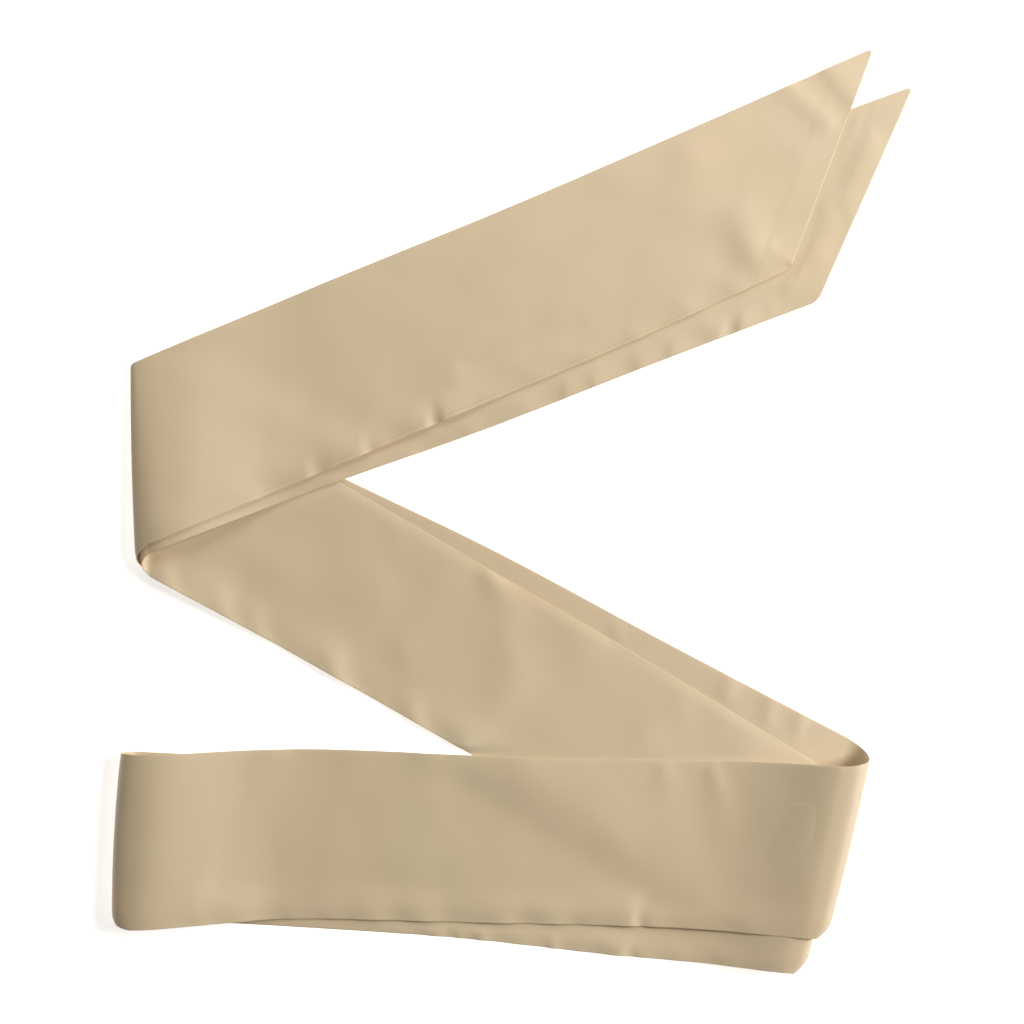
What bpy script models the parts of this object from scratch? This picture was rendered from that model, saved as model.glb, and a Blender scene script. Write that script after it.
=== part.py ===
"""A satin sash, doubled at its middle and laid on a surface in a zigzag of three arms.

The cloth is one flat sewn tube: two plies of satin, with a fold along one long edge, a
stitched seam along the other and a slanted, pointed end at both ends. Doubled, it makes
two layers in each arm, so six stretches of cloth show. Each stretch is a wall as thick as
the two pressed plies, lofted between its seam edge and its fold edge, and the turns at
the arms' ends are half rounds between one stretch and the next.

The surface that the sash lies on is z = 0, and the origin is in the middle of the sash.
"""

from collections import namedtuple
from math import ceil, cos, pi, sin

import bmesh
import bpy
import numpy as np

# Sizes are in millimetres, and MM turns them into metres.
MM = 0.001

# The cloth
PLIES_THICK = 1.0
LAYER_GAP = 0.5
LAYER_PITCH = PLIES_THICK + LAYER_GAP
SPLIT_GAP = 0.3

# How far a layer takes to come down from the edge of the layer under it
DRAPE_START = 2.0
DRAPE_RUN = 38.0

# Where one node ends and the next begins, measured along the cloth from a turn
SPLIT_FROM_TURN = 12.0

# The rounded point at the slanted ends
POINT_ROUND = 4.0
POINT_PULL = 0.36

# Fineness of the loft
LOFT_STEP = 10.0
FLAT_LOFT_STEP = 22.0
TURN_STEPS = 10
ACROSS = np.array((0.0, 0.04, 0.13, 0.24, 0.35, 0.46, 0.57, 0.68, 0.79, 0.89, 0.96, 1.0))
OUTLINE_STEPS = 15

# The middle of the laid sash in the tables' frame
MIDDLE_X = 0.3
MIDDLE_Y = 1.7

# Each stretch is given by five rulings, at equal shares of its length, which run across
# the cloth from its seam edge to its fold edge. Share 0 is at the left.
Ruling = namedtuple("Ruling", "share seam_x seam_y fold_x fold_y")

STRETCHES = {
    "cross_lower": (
        Ruling(0.00, -210.5, -35.5, -218.3, 82.0),
        Ruling(0.25, -114.8, -84.0, -114.7, 28.0),
        Ruling(0.50, -19.1, -132.5, -11.3, -22.0),
        Ruling(0.75, 76.6, -182.0, 92.0, -77.2),
        Ruling(1.00, 172.3, -233.7, 195.3, -131.3),
    ),
    "cross_upper": (
        Ruling(0.00, -208.5, -37.5, -217.5, 79.0),
        Ruling(0.25, -115.0, -88.9, -116.6, 26.2),
        Ruling(0.50, -21.4, -142.1, -15.8, -31.8),
        Ruling(0.75, 72.1, -197.5, 85.1, -90.4),
        Ruling(1.00, 165.7, -253.3, 186.0, -151.5),
    ),
    "tail_lower": (
        Ruling(0.00, -208.5, -24.0, -217.4, 80.5),
        Ruling(0.25, -111.8, 13.7, -104.9, 121.5),
        Ruling(0.50, -15.0, 48.2, 7.5, 162.3),
        Ruling(0.75, 81.8, 85.9, 120.0, 206.0),
        Ruling(1.00, 177.8, 122.3, 233.4, 247.6),
    ),
    "tail_upper": (
        Ruling(0.00, -209.5, -19.2, -218.5, 86.4),
        Ruling(0.25, -116.7, 20.2, -111.9, 132.0),
        Ruling(0.50, -24.0, 59.3, -5.4, 175.6),
        Ruling(0.75, 68.8, 98.4, 101.2, 221.6),
        Ruling(1.00, 161.8, 141.0, 210.4, 269.8),
    ),
    "band_lower": (
        Ruling(0.00, -219.5, -236.0, -215.5, -139.3),
        Ruling(0.25, -124.3, -241.2, -115.7, -144.5),
        Ruling(0.50, -29.1, -247.7, -16.0, -151.7),
        Ruling(0.75, 66.1, -258.0, 83.8, -162.3),
        Ruling(1.00, 161.3, -264.7, 183.6, -166.5),
    ),
    "band_upper": (
        Ruling(0.00, -219.5, -239.2, -215.5, -139.0),
        Ruling(0.25, -121.2, -236.2, -113.4, -137.7),
        Ruling(0.50, -22.9, -238.4, -11.3, -141.6),
        Ruling(0.75, 75.4, -240.5, 90.9, -143.8),
        Ruling(1.00, 173.7, -244.1, 193.0, -144.7),
    ),
}

# The stretches that lie under each one
UNDER = {
    "cross_lower": (),
    "cross_upper": ("cross_lower",),
    "tail_lower": ("cross_lower", "cross_upper"),
    "tail_upper": ("cross_lower", "cross_upper", "tail_lower"),
    "band_lower": ("cross_lower", "cross_upper"),
    "band_upper": ("cross_lower", "cross_upper", "band_lower"),
}

# Where the cloth stands up over a turn, and the run in which it comes down again. The
# crest is a line from the seam edge to the fold edge, with a height at each.
Crest = namedtuple("Crest", "stretch seam_x seam_y fold_x fold_y seam_height fold_height run")

CRESTS = (
    Crest("tail_lower", -208.5, -24.0, -217.4, 80.5, 11.7, 3.7, 90.0),
    Crest("tail_upper", -208.5, -24.0, -217.4, 80.5, 14.1, 5.1, 90.0),
    Crest("band_lower", 161.3, -264.7, 183.6, -166.5, 14.5, 19.9, -85.0),
    Crest("band_upper", 166.0, -244.1, 187.0, -144.5, 17.5, 22.5, -85.0),
    Crest("band_upper", -219.5, -239.2, -215.5, -139.0, 17.5, 17.0, 80.0),
)

# The turns. Each goes round from the lower stretch to the upper one, at the share 0 or 1
# of both, and its nose reaches out past the end rulings. The loss is the share of that
# reach which goes at its rounded corner on the seam edge.
Turn = namedtuple("Turn", "lower upper share seam_reach fold_reach bow loss way_x way_y")

TURNS = {
    "left_outer": Turn("cross_lower", "tail_upper", 0, 7.0, 2.3, 0.8, 0.1, -0.9993, -0.038),
    "left_inner": Turn("cross_upper", "tail_lower", 0, 4.9, 0.9, 0.0, 0.1, -0.9993, -0.038),
    "right_outer": Turn("cross_lower", "band_upper", 1, 8.6, 11.2, 0.8, 0.45, 0.973, -0.229),
    "right_inner": Turn("cross_upper", "band_lower", 1, 6.2, 8.8, 0.0, 0.45, 0.973, -0.229),
    "lower_left": Turn("band_lower", "band_upper", 0, 10.6, 9.6, 1.6, 0.2, -0.9989, 0.0465),
}

# How far from the seam edge the corner of a turn is rounded
TURN_CORNER = 7.0

# The largest folds in the cloth: each is a soft ridge from one place to another, with its
# half width and its height at both.
Fold = namedtuple("Fold", "stretch x y end_x end_y width end_width height end_height")

FOLDS = (
    Fold("tail_upper", -92.0, 118.0, -128.0, 64.0, 20.0, 24.0, 0.7, 0.3),
    Fold("tail_upper", -34.0, 84.0, 28.0, 110.0, 14.0, 12.0, 1.0, 0.4),
    Fold("tail_upper", 6.0, 158.0, 34.0, 142.0, 18.0, 22.0, 0.6, 0.3),
    Fold("tail_upper", 104.0, 203.0, 96.0, 181.0, 13.0, 16.0, 0.7, 0.4),
    Fold("tail_upper", 139.0, 150.0, 131.0, 181.0, 12.0, 14.0, 1.1, 0.8),
    Fold("tail_upper", 160.0, 246.5, 186.0, 224.5, 8.0, 7.0, 1.2, 1.0),
    Fold("tail_lower", 205.0, 186.0, 213.0, 212.0, 7.0, 7.0, 1.0, 0.8),
    Fold("cross_upper", -150.0, -24.0, -92.0, -50.0, 14.0, 18.0, 0.7, 0.3),
    Fold("cross_upper", -66.0, -96.0, -40.0, -118.0, 13.0, 15.0, 0.6, 0.4),
    Fold("cross_upper", -15.7, -36.0, 4.0, -62.0, 11.0, 13.0, 1.0, 0.5),
    Fold("cross_upper", -18.0, -124.0, 30.0, -68.0, 14.0, 15.0, 0.9, 0.4),
    Fold("cross_upper", 66.0, -94.0, 110.0, -124.0, 14.0, 13.0, 0.5, 0.3),
    Fold("band_lower", 50.0, -200.0, 90.0, -220.0, 15.0, 16.0, 0.7, 0.4),
    Fold("band_lower", -90.0, -190.0, -130.0, -160.0, 16.0, 20.0, 0.6, 0.3),
    Fold("band_upper", -18.0, -152.0, 60.0, -190.0, 13.0, 20.0, 1.0, 0.4),
    Fold("band_upper", 100.0, -151.0, 104.0, -186.0, 9.0, 16.0, 0.7, 0.5),
    Fold("band_upper", -140.0, -150.0, -118.0, -200.0, 16.0, 22.0, 0.7, 0.4),
    Fold("band_upper", 20.0, -214.0, -60.0, -196.0, 18.0, 24.0, 0.5, 0.3),
)

# A leg is a stretch between two shares, or a whole turn, in the order that the cloth
# runs. A turn is up or down.
Leg = namedtuple("Leg", "kind name first last")

SATIN = {
    "tail_upper": "D9C6A5",
    "cross_lower": "D2BE99",
    "band_upper": "B9A88A",
    "band_lower": "B3A283",
    "cross_upper": "CDB894",
    "tail_lower": "D6C29F",
}
SATIN_ROUGHNESS = 0.42


def ease(value):
    """A smooth step from 0 to 1."""
    value = np.clip(value, 0.0, 1.0)
    return value * value * (3.0 - 2.0 * value)


def edge_points(stretch, shares):
    """Seam edge and fold edge of a stretch at the given shares, on smooth curves."""
    rows = np.array([row[1:] for row in STRETCHES[stretch]])
    spans = len(rows) - 1
    rows = np.vstack((2 * rows[0] - rows[1], rows, 2 * rows[-1] - rows[-2]))
    span = np.clip((np.asarray(shares) * spans).astype(int), 0, spans - 1)
    part = (np.asarray(shares) * spans - span)[:, None]
    before, start, end, after = (rows[span + step] for step in range(4))
    bend = 2 * before - 5 * start + 4 * end - after
    twist = 3 * start - before - 3 * end + after
    points = start + 0.5 * part * (end - before + part * (bend + part * twist))
    return points[:, :2], points[:, 2:]


def stretch_length(stretch):
    """Length of a stretch along its middle."""
    seam, fold = edge_points(stretch, np.linspace(0.0, 1.0, OUTLINE_STEPS))
    middle = (seam + fold) / 2
    return np.linalg.norm(np.diff(middle, axis=0), axis=1).sum()


def plan_outline(stretch):
    """The stretch's outline seen from above."""
    seam, fold = edge_points(stretch, np.linspace(0.0, 1.0, OUTLINE_STEPS))
    return np.vstack((seam, fold[::-1]))


def distance_outside(outline, points):
    """How far each point is outside an outline, and 0 inside it."""
    nearest = np.full(len(points), np.inf)
    inside = np.zeros(len(points), bool)
    for start, end in zip(outline, np.roll(outline, -1, axis=0)):
        side = end - start
        along = np.clip((points - start) @ side / (side @ side), 0.0, 1.0)
        foot = start + along[:, None] * side
        nearest = np.minimum(nearest, np.linalg.norm(points - foot, axis=1))
        if start[1] != end[1]:
            crossing = start[0] + (points[:, 1] - start[1]) * side[0] / side[1]
            spans = (start[1] > points[:, 1]) != (end[1] > points[:, 1])
            inside ^= spans & (points[:, 0] < crossing)
    nearest[inside] = 0.0
    return nearest


def fold_relief(stretch, points):
    """Height of the stretch's own folds at each point."""
    relief = np.zeros(len(points))
    for fold in FOLDS:
        if fold.stretch == stretch:
            start = np.array((fold.x, fold.y))
            side = np.array((fold.end_x, fold.end_y)) - start
            along = np.clip((points - start) @ side / (side @ side), 0.0, 1.0)
            away = np.linalg.norm(points - start - along[:, None] * side, axis=1)
            width = fold.width + (fold.end_width - fold.width) * along
            height = fold.height + (fold.end_height - fold.height) * along
            relief += height * np.exp(-(away / width) ** 2)
    return relief


def cloth_height(stretch, points):
    """Height of the middle of the wall, on the layers under it and over their folds."""
    height = np.full(len(points), PLIES_THICK / 2)
    relief = fold_relief(stretch, points)
    for below in UNDER[stretch]:
        past = distance_outside(plan_outline(below), points) - DRAPE_START
        cover = ease(1.0 - past / DRAPE_RUN)
        height += LAYER_PITCH * cover
        relief += fold_relief(below, points) * cover
    for crest in CRESTS:
        if crest.stretch == stretch:
            seam = np.array((crest.seam_x, crest.seam_y))
            line = np.array((crest.fold_x, crest.fold_y)) - seam
            across = np.clip((points - seam) @ line / (line @ line), -0.1, 1.1)
            square = np.array((line[1], -line[0])) / np.linalg.norm(line)
            raised = ease(1.0 - (points - seam) @ square / crest.run)
            top = crest.seam_height + (crest.fold_height - crest.seam_height) * across
            height = height * (1.0 - raised) + top * raised
    return height + relief


def stretch_sections(stretch, shares):
    """Rows of points across the cloth, one for each share."""
    seam, fold = edge_points(stretch, shares)
    across = ACROSS[None, :, None]
    plan = (seam[:, None] * (1.0 - across) + fold[:, None] * across).reshape(-1, 2)
    height = cloth_height(stretch, plan)
    return np.column_stack((plan, height)).reshape(len(shares), len(ACROSS), 3)


def turn_sections(turn):
    """Rows of points round a turn, from its lower stretch to its upper one."""
    bottom = stretch_sections(turn.lower, [turn.share])[0]
    top = stretch_sections(turn.upper, [turn.share])[0]
    reach = turn.seam_reach + (turn.fold_reach - turn.seam_reach) * ACROSS
    reach = reach + turn.bow * 4.0 * ACROSS * (1.0 - ACROSS)
    from_seam = np.linalg.norm(bottom - bottom[0], axis=1)
    corner = np.clip(1.0 - from_seam / TURN_CORNER, 0.0, 1.0)
    reach = reach * (1.0 - turn.loss * corner ** 2)
    way = np.array((turn.way_x, turn.way_y, 0.0))
    rows = []
    for step in range(TURN_STEPS + 1):
        angle = pi * step / TURN_STEPS
        row = bottom + (top - bottom) * step / TURN_STEPS + way * sin(angle) * reach[:, None]
        row[:, 2] = bottom[:, 2] + (top[:, 2] - bottom[:, 2]) * (1.0 - cos(angle)) / 2
        rows.append(row)
    return np.array(rows)


def leg_sections(leg, step):
    """Rows of points along one leg, in the order that the cloth runs."""
    if leg.kind == "turn":
        rows = turn_sections(TURNS[leg.name])
        return rows if leg.first < leg.last else rows[::-1]
    length = stretch_length(leg.name) * abs(leg.last - leg.first)
    shares = np.linspace(leg.first, leg.last, ceil(length / step) + 1)
    if leg.name.startswith("tail"):
        near_point = 1.0 - POINT_ROUND / stretch_length(leg.name)
        shares = np.append(shares[:-1], (near_point, 1.0))
    return stretch_sections(leg.name, shares)


def round_the_point(rows):
    """Pull the sharp corner of a slanted end in, onto a small round."""
    corner = rows[-1, -1]
    rows[-1, -1] = corner + POINT_PULL * (rows[-2, -1] + rows[-1, -2] - 2.0 * corner)


def cloth_legs():
    """The legs of each node. Splits lie on the lower stretch of a turn."""
    split = {name: SPLIT_FROM_TURN / stretch_length(name) for name in STRETCHES}
    after = {name: (SPLIT_FROM_TURN + SPLIT_GAP) / stretch_length(name) for name in STRETCHES}
    return {
        "tail_upper": (
            Leg("stretch", "cross_lower", split["cross_lower"], 0.0),
            Leg("turn", "left_outer", 0, 1),
            Leg("stretch", "tail_upper", 0.0, 1.0),
        ),
        "cross_lower": (
            Leg("stretch", "cross_lower", after["cross_lower"], 1.0 - after["cross_lower"]),
        ),
        "band_upper": (
            Leg("stretch", "cross_lower", 1.0 - split["cross_lower"], 1.0),
            Leg("turn", "right_outer", 0, 1),
            Leg("stretch", "band_upper", 1.0, 0.0),
            Leg("turn", "lower_left", 1, 0),
            Leg("stretch", "band_lower", 0.0, split["band_lower"]),
        ),
        "band_lower": (
            Leg("stretch", "band_lower", after["band_lower"], 1.0),
            Leg("turn", "right_inner", 1, 0),
            Leg("stretch", "cross_upper", 1.0, 1.0 - split["cross_upper"]),
        ),
        "cross_upper": (
            Leg("stretch", "cross_upper", 1.0 - after["cross_upper"], after["cross_upper"]),
        ),
        "tail_lower": (
            Leg("stretch", "cross_upper", split["cross_upper"], 0.0),
            Leg("turn", "left_inner", 0, 1),
            Leg("stretch", "tail_lower", 0.0, 1.0),
        ),
    }


def node_sections(name, legs):
    """All rows of a node, with the row that two legs share taken once."""
    step = FLAT_LOFT_STEP if name == "cross_lower" else LOFT_STEP
    rows = leg_sections(legs[0], step)
    for leg in legs[1:]:
        rows = np.concatenate((rows, leg_sections(leg, step)[1:]))
    if name.startswith("tail"):
        round_the_point(rows)
    return (rows - (MIDDLE_X, MIDDLE_Y, 0.0)) * MM


def satin_material(name, colour):
    """Pale satin, in the tone that the stretch has where it lies."""
    material = bpy.data.materials.new("satin_" + name)
    material.use_nodes = True
    shader = material.node_tree.nodes["Principled BSDF"]
    levels = (int(colour[place:place + 2], 16) / 255 for place in (0, 2, 4))
    linear = [(level / 12.92 if level <= 0.04045 else ((level + 0.055) / 1.055) ** 2.4)
              for level in levels]
    shader.inputs["Base Color"].default_value = (*linear, 1.0)
    shader.inputs["Roughness"].default_value = SATIN_ROUGHNESS
    shader.inputs["Metallic"].default_value = 0.0
    return material


def cloth_object(name, rows, collection):
    """A grid laid through the rows, made a wall by Solidify."""
    last_row = len(rows) - 1
    last_column = len(ACROSS) - 1
    shape = bmesh.new()
    bmesh.ops.create_grid(shape, x_segments=last_row, y_segments=last_column, size=0.5)
    for vertex in shape.verts:
        row = round((vertex.co.x + 0.5) * last_row)
        column = round((vertex.co.y + 0.5) * last_column)
        vertex.co = rows[row, column]
    mesh = bpy.data.meshes.new(name)
    shape.to_mesh(mesh)
    shape.free()
    mesh.shade_smooth()
    mesh.materials.append(satin_material(name, SATIN[name]))
    cloth = bpy.data.objects.new(name, mesh)
    collection.objects.link(cloth)
    wall = cloth.modifiers.new("two pressed plies", "SOLIDIFY")
    wall.thickness = PLIES_THICK * MM
    wall.offset = 0.0
    wall.use_even_offset = True
    return cloth


def clear_scene():
    for old in list(bpy.data.objects):
        bpy.data.objects.remove(old)


def main():
    clear_scene()
    collection = bpy.data.collections.new("satin_sash")
    bpy.context.scene.collection.children.link(collection)
    for name, legs in cloth_legs().items():
        cloth_object(name, node_sections(name, legs), collection)


main()
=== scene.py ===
"""The looks of a satin sash that lies in a zigzag: its cloth, its stitching and the studio.

The sash is one flat sewn tube, doubled at its middle. It is made here in two pieces, one
for each half, that meet under the lowest arm: the outer half runs from the upper tip to
the middle, and the inner half from the middle to the lower tip. Each is a thin closed
shell on the same rulings as the solids that it replaces, with its creases and seams.
"""

from collections import namedtuple
from math import ceil, pi, radians

import bpy
import numpy as np
from bpy.props import FloatProperty, FloatVectorProperty, IntProperty, PointerProperty
from bpy.types import Operator, Panel, PropertyGroup
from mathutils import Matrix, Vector


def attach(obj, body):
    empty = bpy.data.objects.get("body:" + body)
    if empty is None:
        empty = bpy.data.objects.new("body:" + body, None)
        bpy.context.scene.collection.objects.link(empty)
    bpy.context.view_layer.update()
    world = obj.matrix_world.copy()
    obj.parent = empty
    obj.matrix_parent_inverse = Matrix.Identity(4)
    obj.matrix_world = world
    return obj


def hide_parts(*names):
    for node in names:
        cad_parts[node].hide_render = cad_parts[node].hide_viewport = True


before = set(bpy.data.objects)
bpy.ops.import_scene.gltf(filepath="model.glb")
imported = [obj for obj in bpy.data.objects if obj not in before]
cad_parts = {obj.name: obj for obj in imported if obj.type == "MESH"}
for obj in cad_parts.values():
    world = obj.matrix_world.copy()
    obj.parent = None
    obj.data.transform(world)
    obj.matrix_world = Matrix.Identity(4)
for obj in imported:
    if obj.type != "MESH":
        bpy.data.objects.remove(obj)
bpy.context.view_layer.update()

bl_info = {
    "name": "Satin sash",
    "version": (1, 0, 0),
    "blender": (4, 5, 0),
    "location": "3D View > Sidebar > Sash",
    "description": "Makes the cloth, the stitching and the studio of a folded satin sash",
    "category": "Object",
}

# Sizes are in millimetres, and MM turns them into metres.
MM = 0.001

# The cloth as it lies
LAYER_PITCH = 0.58
SPLIT_FROM_TURN = 12.0

# How far the cloth takes to come down from the edge of a layer under it. The band is drawn
# tight over the arm that it crosses.
DRAPE_START = 1.0
DRAPE_RUN = 40.0
TIGHT_DRAPES = {("band_upper", "cross_upper"): 24.0, ("band_lower", "cross_upper"): 20.0}

# How far outside the edge of a layer over it the cloth is still pressed flat
PRESS_RUN = 7.0

# How far a trough can sink into the slack over the layer below, and how softly it stops
LOWEST_FOLD = -0.04
FOLD_STOP = 0.05

# The middle of the laid sash in the tables' frame
MIDDLE_X = 0.3
MIDDLE_Y = 1.7

# Steps along an outline, how many times as many a roll and a pucker take, and rows in a turn
OUTLINE_STEPS = 15
ROLL_FINENESS = 3
PUCKER_FINENESS = 8
TURN_ROWS = 26

# Edges between faces that turn by more than this are shaded as edges
SHARP_FROM = radians(75)

# Each stretch is given by five rulings, at equal shares of its length, which run across
# the cloth from its seam edge to its fold edge. Share 0 is at the left.
Ruling = namedtuple("Ruling", "share seam_x seam_y fold_x fold_y")

STRETCHES = {
    "cross_lower": (
        Ruling(0.00, -210.5, -35.5, -218.3, 82.0),
        Ruling(0.25, -114.8, -84.0, -114.7, 28.0),
        Ruling(0.50, -19.1, -132.5, -11.3, -22.0),
        Ruling(0.75, 76.6, -182.0, 92.0, -77.2),
        Ruling(1.00, 172.3, -233.7, 195.3, -131.3),
    ),
    "cross_upper": (
        Ruling(0.00, -208.5, -37.5, -217.5, 79.0),
        Ruling(0.25, -115.0, -88.9, -116.6, 26.2),
        Ruling(0.50, -21.4, -142.1, -15.8, -31.8),
        Ruling(0.75, 72.1, -197.5, 85.1, -90.4),
        Ruling(1.00, 165.7, -253.3, 186.0, -151.5),
    ),
    "tail_lower": (
        Ruling(0.00, -208.5, -24.0, -217.4, 80.5),
        Ruling(0.25, -111.8, 13.7, -104.9, 121.5),
        Ruling(0.50, -15.0, 48.2, 7.5, 162.3),
        Ruling(0.75, 81.8, 85.9, 120.0, 206.0),
        Ruling(1.00, 177.8, 122.3, 233.4, 247.6),
    ),
    "tail_upper": (
        Ruling(0.00, -209.5, -19.2, -218.5, 86.4),
        Ruling(0.25, -116.7, 20.2, -111.9, 132.0),
        Ruling(0.50, -24.0, 59.3, -5.4, 175.6),
        Ruling(0.75, 68.8, 98.4, 101.2, 221.6),
        Ruling(1.00, 161.8, 141.0, 210.4, 269.8),
    ),
    "band_lower": (
        Ruling(0.00, -219.5, -236.0, -215.5, -139.3),
        Ruling(0.25, -124.3, -241.2, -115.7, -144.5),
        Ruling(0.50, -29.1, -247.7, -16.0, -151.7),
        Ruling(0.75, 66.1, -258.0, 83.8, -162.3),
        Ruling(1.00, 161.3, -264.7, 183.6, -166.5),
    ),
    "band_upper": (
        Ruling(0.00, -219.5, -239.2, -215.5, -139.0),
        Ruling(0.25, -121.2, -236.2, -113.4, -137.7),
        Ruling(0.50, -22.9, -238.4, -11.3, -141.6),
        Ruling(0.75, 75.4, -240.5, 90.9, -143.8),
        Ruling(1.00, 173.7, -244.1, 193.0, -144.7),
    ),
}

# The stretches that lie under each one
UNDER = {
    "cross_lower": (),
    "cross_upper": ("cross_lower",),
    "tail_lower": ("cross_lower", "cross_upper"),
    "tail_upper": ("cross_lower", "cross_upper", "tail_lower"),
    "band_lower": ("cross_lower", "cross_upper"),
    "band_upper": ("cross_lower", "cross_upper", "band_lower"),
}

# Where the cloth stands up over a turn: a line from the seam edge to the fold edge with a
# height at each, the run in which the cloth comes down again, how early it does so (1 is
# evenly, less is earlier), and how far from the line it starts to roll over into the turn,
# whose nose reaches a little past the line. A square of 2 is a round top, and a higher one
# stays level for longer.
Crest = namedtuple("Crest", "stretch seam_x seam_y fold_x fold_y seam_height fold_height "
                            "run fall roll nose square", defaults=(2.0,))

CRESTS = (
    Crest("cross_upper", -208.5, -37.5, -217.5, 79.0, 6.0, 1.6, 90.0, 0.62, 0.0, 1.0),
    Crest("tail_lower", -208.5, -24.0, -217.4, 80.5, 15.2, 5.2, 98.0, 0.85, 13.0, 5.0),
    Crest("tail_upper", -208.5, -24.0, -217.4, 80.5, 17.0, 6.9, 104.0, 0.85, 13.0, 6.0),
    Crest("band_lower", 161.3, -264.7, 183.6, -166.5, 14.5, 19.9, -102.0, 0.55, 5.0, 8.0, 3.4),
    Crest("band_upper", 173.7, -244.1, 193.0, -144.7, 17.5, 22.5, -106.0, 0.55, 5.0, 10.0, 3.4),
    Crest("band_upper", -219.5, -239.2, -215.5, -139.0, 17.5, 17.5, 110.0, 0.7, 9.0, 11.0),
)

# The turns. Each goes round from the lower stretch to the upper one, at the share 0 or 1
# of both, and its nose reaches out past the end rulings. The loss is the share of that
# reach which goes at its rounded corner on the seam edge, and the roll and the square are
# those of its crest.
Turn = namedtuple("Turn", "lower upper share seam_reach fold_reach bow loss roll way_x way_y "
                          "square", defaults=(2.0,))

TURNS = {
    "left_outer": Turn("cross_lower", "tail_upper", 0, 7.0, 2.3, 0.8, 0.1, 13.0, -0.9993, -0.038),
    "left_inner": Turn("cross_upper", "tail_lower", 0, 4.9, 0.9, 0.0, 0.1, 13.0, -0.9993, -0.038),
    "right_outer": Turn("cross_lower", "band_upper", 1, 8.6, 11.2, 0.8, 0.45, 5.0, 0.973, -0.229,
                        3.4),
    "right_inner": Turn("cross_upper", "band_lower", 1, 6.2, 8.8, 0.0, 0.45, 5.0, 0.973, -0.229,
                        3.4),
    "lower_left": Turn("band_lower", "band_upper", 0, 10.6, 9.6, 1.6, 0.2, 9.0, -0.9989, 0.0465),
}

# How far from the seam edge the corner of a turn is rounded, and the least reach of a nose
TURN_CORNER = 7.0
LEAST_NOSE = 1.0

# How far past its ends the slope of a crest goes on, as a share of its line
CREST_OVERRUN = 0.1

# Folds that were pressed or crumpled into the cloth: a soft ridge, or a trough where the
# height is below 0, from one place to another, with its half width and height at each. Its
# half width on the right is that on the left times the last number, where there is one.
Fold = namedtuple("Fold", "stretch x y end_x end_y width end_width height end_height "
                          "right", defaults=(1.0,))

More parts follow.
